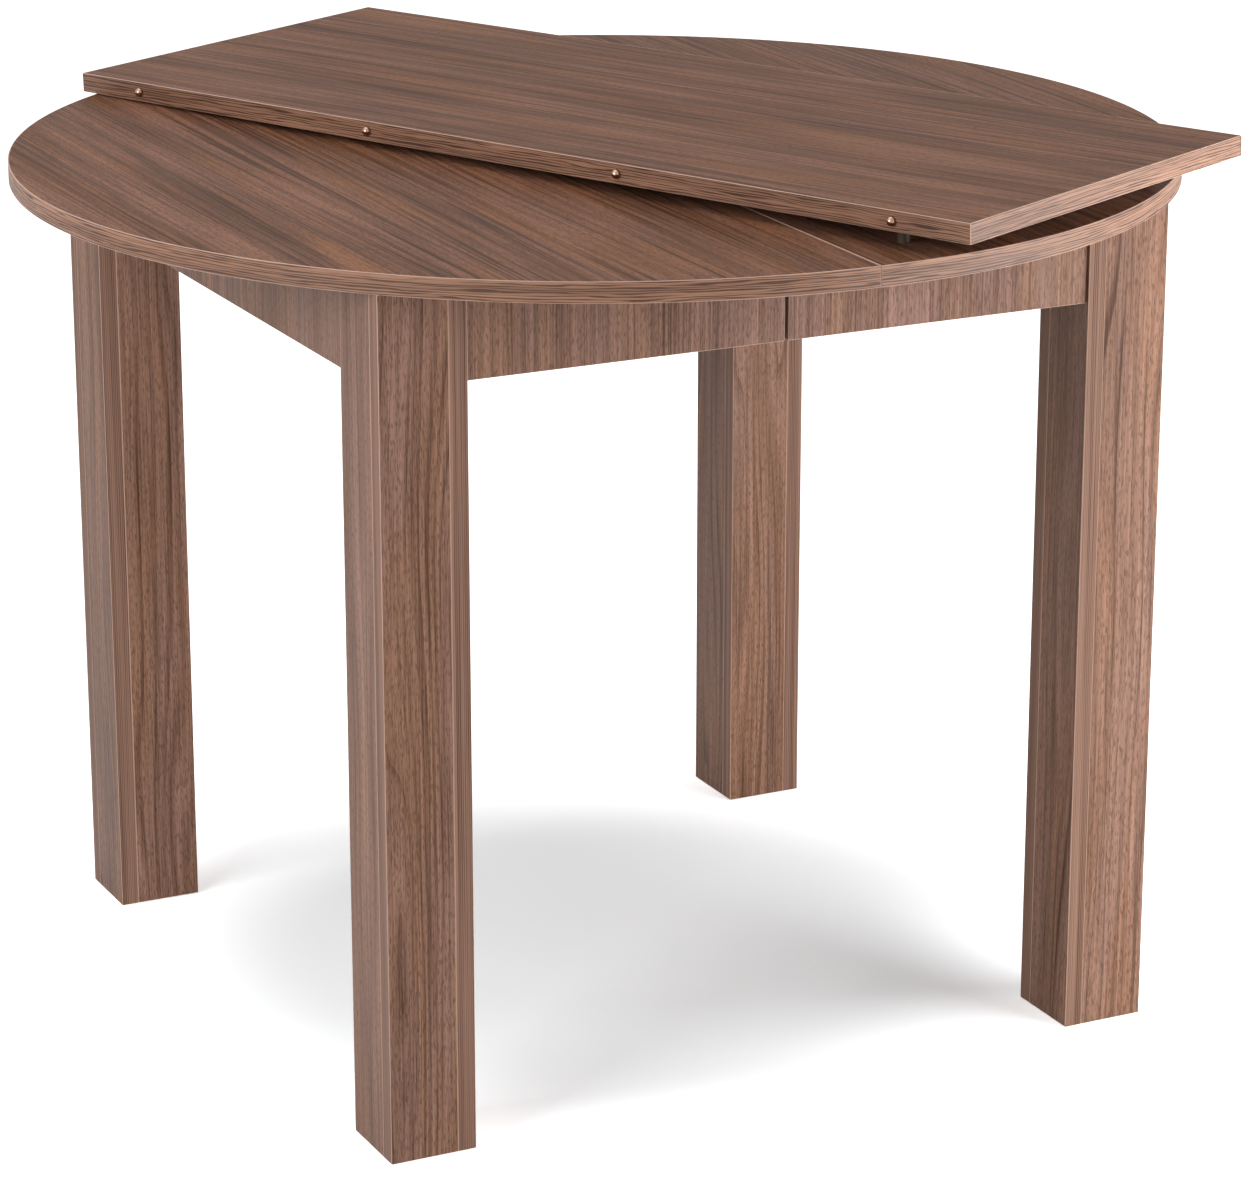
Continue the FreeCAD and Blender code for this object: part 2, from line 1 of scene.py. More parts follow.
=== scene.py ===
# Round extending dining table in walnut decor, with a loose leaf lying on its top.
# The order below is the order of assembly: studio, half tops with their edge bands and pins,
# legs, aprons, bearers, runners, angles and screws, and last the leaf with its spacers.
# Every piece is in metres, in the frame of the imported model.
import math

import bmesh
import bpy
from mathutils import Euler, Matrix, Vector


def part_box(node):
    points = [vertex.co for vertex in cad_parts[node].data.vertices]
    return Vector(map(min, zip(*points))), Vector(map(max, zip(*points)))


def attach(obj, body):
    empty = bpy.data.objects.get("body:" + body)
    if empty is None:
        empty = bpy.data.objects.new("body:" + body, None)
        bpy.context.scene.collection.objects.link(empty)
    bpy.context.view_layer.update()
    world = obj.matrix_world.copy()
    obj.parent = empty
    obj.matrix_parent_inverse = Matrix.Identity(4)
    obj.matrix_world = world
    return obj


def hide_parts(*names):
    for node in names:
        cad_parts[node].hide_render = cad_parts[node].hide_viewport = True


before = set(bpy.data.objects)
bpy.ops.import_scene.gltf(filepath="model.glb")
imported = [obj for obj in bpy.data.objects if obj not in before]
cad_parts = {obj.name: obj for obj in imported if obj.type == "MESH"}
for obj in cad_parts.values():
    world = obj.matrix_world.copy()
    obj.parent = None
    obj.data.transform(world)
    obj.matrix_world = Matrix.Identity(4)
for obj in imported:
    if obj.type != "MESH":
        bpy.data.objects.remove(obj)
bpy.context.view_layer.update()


# Studio camera: a long lens a little above the top, turned to the front left corner.  Its place
# and its two turns are in the frame of the table, and the whole table fits the picture.
EYE = (-1.641, -3.392, 1.540)
TURN_RIGHT = math.radians(26.2)
LOOK_DOWN = math.radians(17.7)
LENS_MM = 128.7

camera = bpy.data.objects.new("studio_camera", bpy.data.cameras.new("studio_camera"))
camera.location = EYE
camera.rotation_euler = (math.pi / 2 - LOOK_DOWN, 0, -TURN_RIGHT)
camera.data.lens = LENS_MM
bpy.context.scene.collection.objects.link(camera)
bpy.context.scene.camera = camera
bpy.context.scene.view_settings.view_transform = "Standard"


# Studio light: soft boxes overhead, in front, at the right corner and at the left, inside a dim
# tent.  Rays that go straight to the tent, or by way of a gloss, see it as white.
TENT_LIGHT = 0.2
SOFT_BOXES = {
    "overhead_soft_box": {"place": (-0.5, 0.4, 2.8), "size": 2.0, "watts": 18},
    "front_soft_box": {"place": (1.6, -2.77, 1.4), "size": 1.8, "watts": 12.5},
    "corner_soft_box": {"place": (1.15, -1.15, 0.6), "size": 1.2, "watts": 27.5},
    "left_soft_box": {"place": (-2.15, -0.7, 1.4), "size": 1.4, "watts": 34},
}
AIM = Vector((0, 0, 0.45))


def hex_colour(code):
    """Linear colour of an sRGB hex value such as 7c5b49."""
    parts = [int(code[start:start + 2], 16) / 255 for start in (0, 2, 4)]
    return (*[part / 12.92 if part <= 0.04045 else ((part + 0.055) / 1.055) ** 2.4
              for part in parts], 1.0)


def node(tree, kind, inputs=None, **settings):
    """Adds a node with its settings, and sets or links its inputs by name or number."""
    made = tree.nodes.new(kind)
    for setting, value in settings.items():
        setattr(made, setting, value)
    for key, value in (inputs or {}).items():
        socket = made.inputs[key] if isinstance(key, int) else next(
            each for each in made.inputs if each.enabled and each.name == key)
        if isinstance(value, bpy.types.Node):
            value = next(each for each in value.outputs if each.enabled)
        if isinstance(value, bpy.types.NodeSocket):
            tree.links.new(value, socket)
        else:
            socket.default_value = value
    return made


def new_material(name):
    """An empty node material."""
    made = bpy.data.materials.new(name)
    made.use_nodes = True
    made.node_tree.nodes.clear()
    return made


def seen_directly(tree):
    """1 for rays from the camera, off a gloss or through clear plastic, else 0."""
    path = node(tree, "ShaderNodeLightPath").outputs
    either = node(tree, "ShaderNodeMath", {0: path["Is Camera Ray"], 1: path["Is Glossy Ray"]},
                  operation="MAXIMUM")
    return node(tree, "ShaderNodeMath", {0: either, 1: path["Is Transmission Ray"]},
                operation="MAXIMUM")


world = bpy.data.worlds.new("studio_tent")
world.use_nodes = True
world.node_tree.nodes.clear()
tent = node(world.node_tree, "ShaderNodeMapRange",
            {"Value": seen_directly(world.node_tree), "To Min": TENT_LIGHT, "To Max": 1.0})
tent_glow = node(world.node_tree, "ShaderNodeBackground",
                 {"Color": hex_colour("ffffff"), "Strength": tent})
node(world.node_tree, "ShaderNodeOutputWorld", {"Surface": tent_glow})
bpy.context.scene.world = world

for name, box in SOFT_BOXES.items():
    lamp = bpy.data.objects.new(name, bpy.data.lights.new(name, "AREA"))
    lamp.data.energy = box["watts"]
    lamp.data.size = box["size"]
    lamp.location = box["place"]
    lamp.rotation_euler = (AIM - lamp.location).to_track_quat("-Z", "Y").to_euler()
    lamp.visible_camera = False
    bpy.context.scene.collection.objects.link(lamp)


# Studio floor: white paper.  Seen directly it is a little brighter, so that only the shade of the
# table shows, and a painted glow, none near the middle and full white from the second radius out,
# turns it plain white away from the table.  From below it can be looked through.
FLOOR_SIZE = 40.0
SEEN_GAIN = 0.35
# The painted glow starts at the first radius and is full white at the second.
SHADE_RADIUS = 0.25
WHITE_RADIUS = 0.6

paper = new_material("white_studio_paper")
seen = seen_directly(paper.node_tree)
lit_paper = node(paper.node_tree, "ShaderNodeBsdfDiffuse", {"Color": hex_colour("f3f8fb")})
extra = node(paper.node_tree, "ShaderNodeMath", {0: seen, 1: SEEN_GAIN}, operation="MULTIPLY")
brighter = node(paper.node_tree, "ShaderNodeBsdfDiffuse", {"Color": extra})
paper_place = node(paper.node_tree, "ShaderNodeTexCoord").outputs["Object"]
far_out = node(paper.node_tree, "ShaderNodeVectorMath", {0: paper_place},
               operation="LENGTH").outputs["Value"]
# Painted glow: seen directly, the floor glows whiter the farther it lies from the middle.
painted_glow_share = node(paper.node_tree, "ShaderNodeMapRange", {
    "Value": far_out, "From Min": SHADE_RADIUS, "From Max": WHITE_RADIUS},
    interpolation_type="SMOOTHSTEP")
glow = node(paper.node_tree, "ShaderNodeMath", {0: painted_glow_share, 1: seen}, operation="MULTIPLY")
painted_white_glow = node(paper.node_tree, "ShaderNodeEmission",
                 {"Color": hex_colour("ffffff"), "Strength": glow})
near_side = node(paper.node_tree, "ShaderNodeAddShader", {0: lit_paper, 1: brighter})
upper_side = node(paper.node_tree, "ShaderNodeAddShader", {0: near_side, 1: painted_white_glow})
under_side = node(paper.node_tree, "ShaderNodeBsdfTransparent")
turned = node(paper.node_tree, "ShaderNodeNewGeometry").outputs["Backfacing"]
both_sides = node(paper.node_tree, "ShaderNodeMixShader",
                  {0: turned, 1: upper_side, 2: under_side})
node(paper.node_tree, "ShaderNodeOutputMaterial", {"Surface": both_sides})

sheet = bmesh.new()
bmesh.ops.create_grid(sheet, x_segments=1, y_segments=1, size=FLOOR_SIZE / 2)
floor = bpy.data.objects.new("studio_floor", bpy.data.meshes.new("studio_floor"))
sheet.to_mesh(floor.data)
sheet.free()
floor.data.materials.append(paper)
bpy.context.scene.collection.objects.link(floor)


# Half tops: laminated chipboard faced with a printed walnut decor under melamine.  The grain
# runs along the seam.  The drilled boards of the model stay, and get the decor.
#
# Melamine: a satin, slightly embossed skin.  What the eye sees is the print: bands of early and
# late wood that follow the growth rings, fine straight fibres, and short dark pores.
WOOD_DARK = "442919"
# Each figure sways by its drift over a width and a length, and has its rings so far apart.
# The tops' colours are darker than the boards', partly as painted shade for their lit upper faces.
FIGURES = {
    "tops": {"drift": 0.06, "width": 0.08, "length": 1.10, "rings": 0.0065,
             "contrast": 1.25, "light": "986c57", "warm": "99694c"},
    "boards": {"drift": 0.065, "width": 0.045, "length": 0.45, "rings": 0.007,
               "contrast": 0.85, "light": "9c7868", "warm": "9e7660"},
    "aprons": {"drift": 0.02, "width": 0.045, "length": 0.45, "rings": 0.0032,
               "contrast": 0.75, "light": "a17e70", "warm": "a27c67"},
}
BAND_SHARE_OF_RING = 0.7
BAND_LENGTH = 1.2
FIBRE_WIDTH = 0.0015
FIBRE_LENGTH = 0.12
PORE_WIDTH = 0.0009
PORE_LENGTH = 0.006
CLOUD_WIDTH = 0.028
CLOUD_LENGTH = 0.28
YEAR_NOISE = 0.45
YEAR_SPREAD = 2.4
# How much each pattern counts in the tone, and where a noise begins and ends to show.
MEAN_TONE = 0.57
BAND_SHARE = 1.15
FIBRE_SHARE = 1.4
CLOUD_SHARE = 0.95
LATE_SHARE = 0.5
LATE_SHARPNESS = 3.0
LATE_FADES = (0.38, 0.62)
PORE_SHARE = 0.5
PORE_SHOWS = (0.55, 0.68)
WARM_SHOWS = (0.42, 0.62)
# Each noise is read at a place of its own, so that no two patterns lie on each other.
OFFSETS = {"sway": 3.1, "pores": 5.3, "late": 9.2, "clouds": 11.9, "zones": 17.3}
# Paler colour painted as a highlight along every eased arris and on the level faces of the bands.
PAINTED_ARRIS_HIGHLIGHT = "c6a592"
SATIN_ROUGHNESS = (0.42, 0.6)
EMBOSSING = {"Strength": 0.15, "Distance": 0.0004}
PLASTIC_IOR = 1.5
TOP_GLOSS = 0.06


def streaks(tree, grain, width, length, detail=2.0, offset=0.0):
    """Noise in streaks of a real width across the grain and a real length along it."""
    stretched = node(tree, "ShaderNodeMapping", {
        "Vector": grain, "Location": (offset, offset, offset),
        "Scale": (1 / length, 1 / width, 1 / width)})
    return node(tree, "ShaderNodeTexNoise", {"Vector": stretched, "Scale": 1.0, "Detail": detail})


def object_grain(tree, place=(0, 0, 0), turn=(0, 0, 0)):
    """Grain coordinates from the piece's own space: X along the grain, Y across it."""
    here = node(tree, "ShaderNodeTexCoord").outputs["Object"]
    return node(tree, "ShaderNodeMapping", {"Vector": here, "Location": place, "Rotation": turn},
                vector_type="TEXTURE")


def board_grain(tree):
    """Grain coordinates that a piece carries: along, across, and the number of its board."""
    return node(tree, "ShaderNodeAttribute", attribute_name="grain").outputs["Vector"]


def late_lines(tree, ringed, rings):
    """1 in the thin dark line that ends each growth ring, fading in and out along its length."""
    parts = node(tree, "ShaderNodeSeparateXYZ", {0: ringed}).outputs
    count = node(tree, "ShaderNodeMath", {0: parts["Y"], 1: rings}, operation="DIVIDE")
    uneven = node(tree, "ShaderNodeTexNoise", {"W": count, "Scale": YEAR_NOISE, "Detail": 1.0},
                  noise_dimensions="1D")
    years = node(tree, "ShaderNodeMath", {0: uneven, 1: YEAR_SPREAD, 2: count},
                 operation="MULTIPLY_ADD")
    season = node(tree, "ShaderNodeMath", {0: years}, operation="FRACT")
    late = node(tree, "ShaderNodeMath", {0: season, 1: LATE_SHARPNESS}, operation="POWER")
    fading = streaks(tree, ringed, rings, CLOUD_LENGTH, detail=1.0, offset=OFFSETS["late"])
    strength = node(tree, "ShaderNodeMapRange", {
        "Value": fading, "From Min": LATE_FADES[0], "From Max": LATE_FADES[1]})
    return node(tree, "ShaderNodeMath", {0: late, 1: strength}, operation="MULTIPLY")


def walnut_decor(name, grain_of, figure, gloss):
    """Melamine-faced board printed with flat-sawn walnut.  Satin, with faint open pores."""
    made = new_material(name)
    tree = made.node_tree
    grain = grain_of(tree)
    parts = node(tree, "ShaderNodeSeparateXYZ", {0: grain}).outputs
    sway = streaks(tree, grain, figure["width"], figure["length"], detail=1.0,
                   offset=OFFSETS["sway"])
    depth = node(tree, "ShaderNodeMath", {0: sway, 1: figure["drift"], 2: parts["Y"]},
                 operation="MULTIPLY_ADD")
    ringed = node(tree, "ShaderNodeCombineXYZ", {0: parts["X"], 1: depth, 2: parts["Z"]})
    bands = streaks(tree, ringed, figure["rings"] * BAND_SHARE_OF_RING, BAND_LENGTH, detail=3.0)
    late = late_lines(tree, ringed, figure["rings"])
    clouds = streaks(tree, ringed, CLOUD_WIDTH, CLOUD_LENGTH, offset=OFFSETS["clouds"])
    zones = streaks(tree, ringed, CLOUD_WIDTH, CLOUD_LENGTH, detail=1.0,
                    offset=OFFSETS["zones"])
    fibres = streaks(tree, grain, FIBRE_WIDTH, FIBRE_LENGTH, detail=3.0)
    pores = streaks(tree, grain, PORE_WIDTH, PORE_LENGTH, detail=0.0, offset=OFFSETS["pores"])

    tone = MEAN_TONE - figure["contrast"] * (BAND_SHARE + FIBRE_SHARE + CLOUD_SHARE) / 2
    for part, share in ((bands, BAND_SHARE), (fibres, FIBRE_SHARE), (clouds, CLOUD_SHARE),
                        (late, -LATE_SHARE)):
        tone = node(tree, "ShaderNodeMath", {0: part, 1: share * figure["contrast"], 2: tone},
                    operation="MULTIPLY_ADD")
    warmth = node(tree, "ShaderNodeMapRange", {
        "Value": zones, "From Min": WARM_SHOWS[0], "From Max": WARM_SHOWS[1]})
    early = node(tree, "ShaderNodeMix", {"Factor": warmth, "A": hex_colour(figure["light"]),
                                         "B": hex_colour(figure["warm"])}, data_type="RGBA")
    wood = node(tree, "ShaderNodeMix", {"Factor": tone, "A": hex_colour(WOOD_DARK), "B": early},
                data_type="RGBA", clamp_factor=True)
    open_pores = node(tree, "ShaderNodeMapRange", {
        "Value": pores, "From Min": PORE_SHOWS[0], "From Max": PORE_SHOWS[1],
        "To Max": PORE_SHARE})
    pored = node(tree, "ShaderNodeMix", {"Factor": open_pores, "A": wood,
                                         "B": hex_colour(WOOD_DARK)}, data_type="RGBA")
    # Painted highlight: the marked arris faces take a paler colour.
    painted_highlight = node(tree, "ShaderNodeAttribute", attribute_name="painted_highlight").outputs["Fac"]
    edged = node(tree, "ShaderNodeMix", {"Factor": painted_highlight, "A": pored,
                                         "B": hex_colour(PAINTED_ARRIS_HIGHLIGHT)}, data_type="RGBA")
    relief = node(tree, "ShaderNodeMath", {0: open_pores, 1: -1.0, 2: fibres},
                  operation="MULTIPLY_ADD")
    bump = node(tree, "ShaderNodeBump", {"Height": relief, **EMBOSSING})
    satin = node(tree, "ShaderNodeMapRange", {
        "Value": fibres, "To Min": SATIN_ROUGHNESS[0], "To Max": SATIN_ROUGHNESS[1]})
    skin = node(tree, "ShaderNodeBsdfPrincipled", {
        "Base Color": edged, "Roughness": satin, "IOR": PLASTIC_IOR,
        "Specular IOR Level": gloss, "Normal": bump})
    node(tree, "ShaderNodeOutputMaterial", {"Surface": skin})
    return made


HALVES = {"left": -1, "right": 1}
QUARTER = math.pi / 2
# Where the tops are cut from the printed sheet: to either side, and along the grain.
SHEET_CUT = (0.21, 0.4)
for half, side in HALVES.items():
    cut_at = (SHEET_CUT[0] * side, SHEET_CUT[1], 0)
    decor = walnut_decor(f"walnut_melamine_{half}_top",
                         lambda tree: object_grain(tree, cut_at, (0, 0, QUARTER)),
                         FIGURES["tops"], TOP_GLOSS)
    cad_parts[f"{half}_top"].material_slots[0].material = decor


# Edge bands of the tops: ABS strip, 1 mm thick, printed with fine lines along its length.  The
# rim band runs round each half; the seam band is straight and bored for the alignment pins.
# Every eased arris, and the level faces of each band, carry a painted highlight: a paler colour
# along the edge.
ARRIS = 0.0004
BAND_THICKNESS = 0.001
EDGE_LINES = {
    "tops": {"pitch": 0.0021, "length": 0.07, "bend": 0.006, "contrast": 1.3, "light": "a4785f"},
    "boards": {"pitch": 0.0017, "length": 0.2, "bend": 0.002, "contrast": 0.6, "light": "9c7968"},
}
LINE_SHARPNESS = 2.0
LINE_SHOWS = (0.3, 0.6)
FAINTEST_LINE = 0.2
LINE_OFFSETS = {"bend": 2.3, "ground": 6.1, "fading": 7.7}
PALE_GROUND = 0.2
BAND_DARK = "422616"
BAND_ROUGHNESS = 0.55
BAND_RELIEF = {"Strength": 0.15, "Distance": 0.0002}
BAND_GLOSS = 0.4
RIM_STEPS = 360
PIN_COUNT = 4
PIN_PITCH = 0.283
HOLE_RADIUS = 0.0041
SEAT_RADIUS = 0.00405
HOLE_CORNER_STEPS = 6
SHARP = math.radians(40)
SMOOTH = math.radians(30)
MICRON = 1e-6
# A face looks along an axis when its normal has more than this share of it.
FACING = 0.5
# The number of a board or band picks the part of the print that it shows.
BOARD_NUMBERS = {"rims": 3, "seams": 7, "legs": 21, "aprons": 61, "leaf_near": 90,
                 "leaf_far": 91, "leaf_ends": 92}


def edge_band(name, grain_of, lines, gloss):
    """ABS edging printed in lines that run along the edge.  Smoother than the melamine."""
    made = new_material(name)
    tree = made.node_tree
    grain = grain_of(tree)
    parts = node(tree, "ShaderNodeSeparateXYZ", {0: grain}).outputs
    bend = streaks(tree, grain, 2 * lines["pitch"], lines["length"], offset=LINE_OFFSETS["bend"])
    across = node(tree, "ShaderNodeMath", {0: bend, 1: lines["bend"], 2: parts["Y"]},
                  operation="MULTIPLY_ADD")
    turns = node(tree, "ShaderNodeMath", {0: across, 1: 2 * math.pi / lines["pitch"]},
                 operation="MULTIPLY")
    wave = node(tree, "ShaderNodeMath", {0: turns}, operation="SINE")
    trough = node(tree, "ShaderNodeMapRange", {"Value": wave, "From Min": -1.0, "To Min": 0.0})
    line = node(tree, "ShaderNodeMath", {0: trough, 1: LINE_SHARPNESS}, operation="POWER")
    fading = streaks(tree, grain, lines["pitch"], lines["length"], detail=1.0,
                     offset=LINE_OFFSETS["fading"])
    strength = node(tree, "ShaderNodeMapRange", {
        "Value": fading, "From Min": LINE_SHOWS[0], "From Max": LINE_SHOWS[1],
        "To Min": -FAINTEST_LINE, "To Max": -lines["contrast"]})
    broad = streaks(tree, grain, 3 * lines["pitch"], 4 * lines["length"], detail=1.0,
                    offset=LINE_OFFSETS["ground"])
    paler = node(tree, "ShaderNodeMath", {0: broad, 1: PALE_GROUND}, operation="ADD")
    tone = node(tree, "ShaderNodeMath", {0: line, 1: strength, 2: paler},
                operation="MULTIPLY_ADD")
    wood = node(tree, "ShaderNodeMix", {"Factor": tone, "A": hex_colour(BAND_DARK),
                                        "B": hex_colour(lines["light"])},
                data_type="RGBA", clamp_factor=True)
    # Painted highlight: the marked arris faces take a paler colour.
    painted_highlight = node(tree, "ShaderNodeAttribute", attribute_name="painted_highlight").outputs["Fac"]
    edged = node(tree, "ShaderNodeMix", {"Factor": painted_highlight, "A": wood,
                                         "B": hex_colour(PAINTED_ARRIS_HIGHLIGHT)}, data_type="RGBA")
    bump = node(tree, "ShaderNodeBump", {"Height": wave, **BAND_RELIEF})
    skin = node(tree, "ShaderNodeBsdfPrincipled", {
        "Base Color": edged, "Roughness": BAND_ROUGHNESS, "IOR": PLASTIC_IOR,
        "Specular IOR Level": gloss, "Normal": bump})
    node(tree, "ShaderNodeOutputMaterial", {"Surface": skin})
    return made


def box_between(low, high):
    """A block between two corners."""
    block = bmesh.new()
    bmesh.ops.create_cube(block, size=1.0)
    bmesh.ops.scale(block, vec=Vector(high) - Vector(low), verts=block.verts)
    bmesh.ops.translate(block, vec=(Vector(high) + Vector(low)) / 2, verts=block.verts)
    return block


def ease(shape, edges, width):
    """Bevels edges and marks the new faces, which carry a painted highlight in a paler colour."""
    mark = shape.faces.layers.float.get("painted_highlight") or shape.faces.layers.float.new("painted_highlight")
    cut = bmesh.ops.bevel(shape, geom=edges, offset=width, segments=1, affect="EDGES",
                          profile=0.5, material=-1)
    for face in cut["faces"]:
        face[mark] = 1.0


def sharp_edges(shape, least=SHARP):
    """The edges where two faces meet at a corner."""
    return [edge for edge in shape.edges if edge.calc_face_angle(0) > least]


def lay_grain(shape, grain_at, board, faces=None):
    """Gives every corner its place along the grain and across it, and the board's number."""
    grain = (shape.loops.layers.float_vector.get("grain")
             or shape.loops.layers.float_vector.new("grain"))
    for face in faces or shape.faces:
        for corner in face.loops:
            along, across = grain_at(corner.vert.co)
            corner[grain] = (along, across, board)


def finish_piece(shape, name, body, finishes, stands_for):
    """Makes the object: smooth where it is rounded, riding its body and standing for its node."""
    bmesh.ops.recalc_face_normals(shape, faces=shape.faces)
    for face in shape.faces:
        face.smooth = True
    for edge in shape.edges:
        edge.smooth = edge.calc_face_angle(0) < SMOOTH
    piece = bpy.data.objects.new(name, bpy.data.meshes.new(name))
    shape.to_mesh(piece.data)
    shape.free()
    for finish in finishes:
        piece.data.materials.append(finish)
    bpy.context.scene.collection.objects.link(piece)
    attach(piece, body)
    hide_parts(*stands_for)


def drilled_strip(length, height, thickness, radius):
    """A strip in the plane Y = 0 with a row of pin holes, thickened towards +Y."""
    rows = [0.0, height / 2, height]
    first = -(PIN_COUNT - 1) / 2 * PIN_PITCH
    columns = [-length / 2, *[first + step * PIN_PITCH for step in range(PIN_COUNT)], length / 2]
    strip = bmesh.new()
    bmesh.ops.create_grid(strip, x_segments=len(columns) - 1, y_segments=len(rows) - 1, size=1.0)
    across = sorted({round(vert.co.x, 5) for vert in strip.verts})
    upward = sorted({round(vert.co.y, 5) for vert in strip.verts})
    for vert in strip.verts:
        column = columns[across.index(round(vert.co.x, 5))]
        vert.co = (column, 0, rows[upward.index(round(vert.co.y, 5))])
    pins = [vert for vert in strip.verts if len(vert.link_edges) == 4]
    holes = bmesh.ops.bevel(strip, geom=pins, offset=radius, segments=HOLE_CORNER_STEPS,
                            affect="VERTICES", profile=0.5, material=-1)
    bmesh.ops.delete(strip, geom=holes["faces"], context="FACES")
    side = bmesh.ops.extrude_face_region(strip, geom=list(strip.faces))
    moved = [part for part in side["geom"] if isinstance(part, bmesh.types.BMVert)]
    bmesh.ops.translate(strip, vec=(0, thickness, 0), verts=moved)
    bmesh.ops.recalc_face_normals(strip, faces=strip.faces)
    return strip


def outline_edges(shape, low, high):
    """The sharp edges that lie on the outside of a box-shaped piece."""
    def outside(vert):
        return sum(min(abs(value - edge) for edge in pair) < MICRON
                   for value, pair in zip(vert.co, zip(low, high))) > 1
    return [edge for edge in sharp_edges(shape) if all(outside(vert) for vert in edge.verts)]


def paint_band_highlights(shape, underneath=True):
    """Marks the level faces of an edge band, which carry the painted highlight in a paler colour.
    """
    mark = shape.faces.layers.float["painted_highlight"]
    for face in shape.faces:
        if face.normal.z > FACING or (underneath and face.normal.z < -FACING):
            face[mark] = 1.0


top_band = edge_band("walnut_abs_edging", board_grain, EDGE_LINES["tops"], BAND_GLOSS)

top_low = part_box("left_top")[0].z
top_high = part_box("left_top")[1].z
rim_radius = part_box("right_rim_band")[1].x
half_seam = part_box("right_seam_band")[0].x
seam_length = 2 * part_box("right_seam_band")[1].y

for half, side in HALVES.items():
    rim = bmesh.new()
    corners = [rim.verts.new((radius, 0, height)) for radius, height in (
        (rim_radius - BAND_THICKNESS, top_low), (rim_radius, top_low),
        (rim_radius, top_high), (rim_radius - BAND_THICKNESS, top_high))]
    section = rim.faces.new(corners)
    bmesh.ops.delete(rim, geom=[section], context="FACES_ONLY")
    bmesh.ops.spin(rim, geom=rim.verts[:] + rim.edges[:], cent=(0, 0, 0), axis=(0, 0, 1),
                   angle=2 * math.pi, steps=RIM_STEPS, use_merge=True)
    bmesh.ops.bisect_plane(rim, geom=rim.verts[:] + rim.edges[:] + rim.faces[:],
                           plane_co=(side * half_seam, 0, 0), plane_no=(-side, 0, 0),
                           clear_outer=True)
    bmesh.ops.holes_fill(rim, edges=[edge for edge in rim.edges if edge.is_boundary])
    bmesh.ops.recalc_face_normals(rim, faces=rim.faces)
    outer = [edge for edge in sharp_edges(rim)
             if all(vert.co.xy.length > rim_radius - BAND_THICKNESS / 2 for vert in edge.verts)]
    ease(rim, outer, ARRIS)
    paint_band_highlights(rim)
    lay_grain(rim, lambda at: (math.atan2(at.y, side * at.x) * rim_radius, at.z - at.xy.length),
              board=BOARD_NUMBERS["rims"] + side)
    finish_piece(rim, f"{half}_rim_edging", f"{half}_half", [top_band],
                 [f"{half}_rim_band"])

    low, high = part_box(f"{half}_seam_band")
    radius = HOLE_RADIUS if half == "left" else SEAT_RADIUS
    seam = drilled_strip(seam_length, top_high - top_low, BAND_THICKNESS, radius)
    bmesh.ops.rotate(seam, matrix=Matrix.Rotation(QUARTER, 3, "Z"), verts=seam.verts)
    bmesh.ops.translate(seam, vec=(high.x, 0, top_low), verts=seam.verts)
    upper = [edge for edge in outline_edges(seam, low, high)
             if all(vert.co.z > top_high - ARRIS for vert in edge.verts)]
    ease(seam, upper, ARRIS / 2)
    paint_band_highlights(seam, underneath=False)
    lay_grain(seam, lambda at: (at.y, at.z + at.x), board=BOARD_NUMBERS["seams"] + side)
    finish_piece(seam, f"{half}_seam_edging", f"{half}_half", [top_band],
                 [f"{half}_seam_band"])


# Alignment pins: turned steel dowels with a domed end and a bronzed finish, glued into the seam
# edge of the right half.  The same pin is used in the leaf.
PIN_DIAMETER = 0.008
PIN_LENGTH = 0.025
PIN_REACH = 0.005
PIN_SIDES = 32
DOME_STEPS = 10
DOME_SHARE = 0.98
STAINS_PER_METRE = 260.0


def bronzed_steel(name):
    """Polished steel with a thin bronze plating: pale brown, bright and a little uneven."""
    made = new_material(name)
    tree = made.node_tree
    here = node(tree, "ShaderNodeTexCoord").outputs["Object"]
    stains = node(tree, "ShaderNodeTexNoise", {
        "Vector": here, "Scale": STAINS_PER_METRE, "Detail": 3.0})
    plate = node(tree, "ShaderNodeMix", {"Factor": stains, "A": hex_colour("85685a"),
                                         "B": hex_colour("c0a08c")}, data_type="RGBA")
    shine = node(tree, "ShaderNodeMapRange", {"Value": stains, "To Min": 0.12, "To Max": 0.26})
    skin = node(tree, "ShaderNodeBsdfPrincipled", {
        "Base Color": plate, "Metallic": 1.0, "Roughness": shine})
    node(tree, "ShaderNodeOutputMaterial", {"Surface": skin})
    return made


def domed_pin():
    """A pin along Z whose seat is at Z = 0 and whose dome stands above it."""
    pin = bmesh.new()
    bmesh.ops.create_cone(pin, cap_ends=True, segments=PIN_SIDES, radius1=PIN_DIAMETER / 2,
                          radius2=PIN_DIAMETER / 2, depth=PIN_LENGTH)
    bmesh.ops.translate(pin, vec=(0, 0, PIN_REACH - PIN_LENGTH / 2), verts=pin.verts)
    rim = [edge for edge in sharp_edges(pin) if all(vert.co.z > 0 for vert in edge.verts)]
    bmesh.ops.bevel(pin, geom=rim, offset=PIN_DIAMETER / 2 * DOME_SHARE, segments=DOME_STEPS,
                    affect="EDGES", profile=0.5, material=-1)
    return pin


def joined(shapes):
    """One mesh of several separate ones."""
    whole = bmesh.new()
    for shape in shapes:
        part = bpy.data.meshes.new("part")
        shape.to_mesh(part)
        shape.free()
        whole.from_mesh(part)
        bpy.data.meshes.remove(part)
    return whole


def pin_row(place):
    """The row of pins, each turned and moved by a matrix for its step along the edge."""
    pins = []
    for step in range(PIN_COUNT):
        pin = domed_pin()
        pin.transform(place((step - (PIN_COUNT - 1) / 2) * PIN_PITCH))
        pins.append(pin)
    return joined(pins)


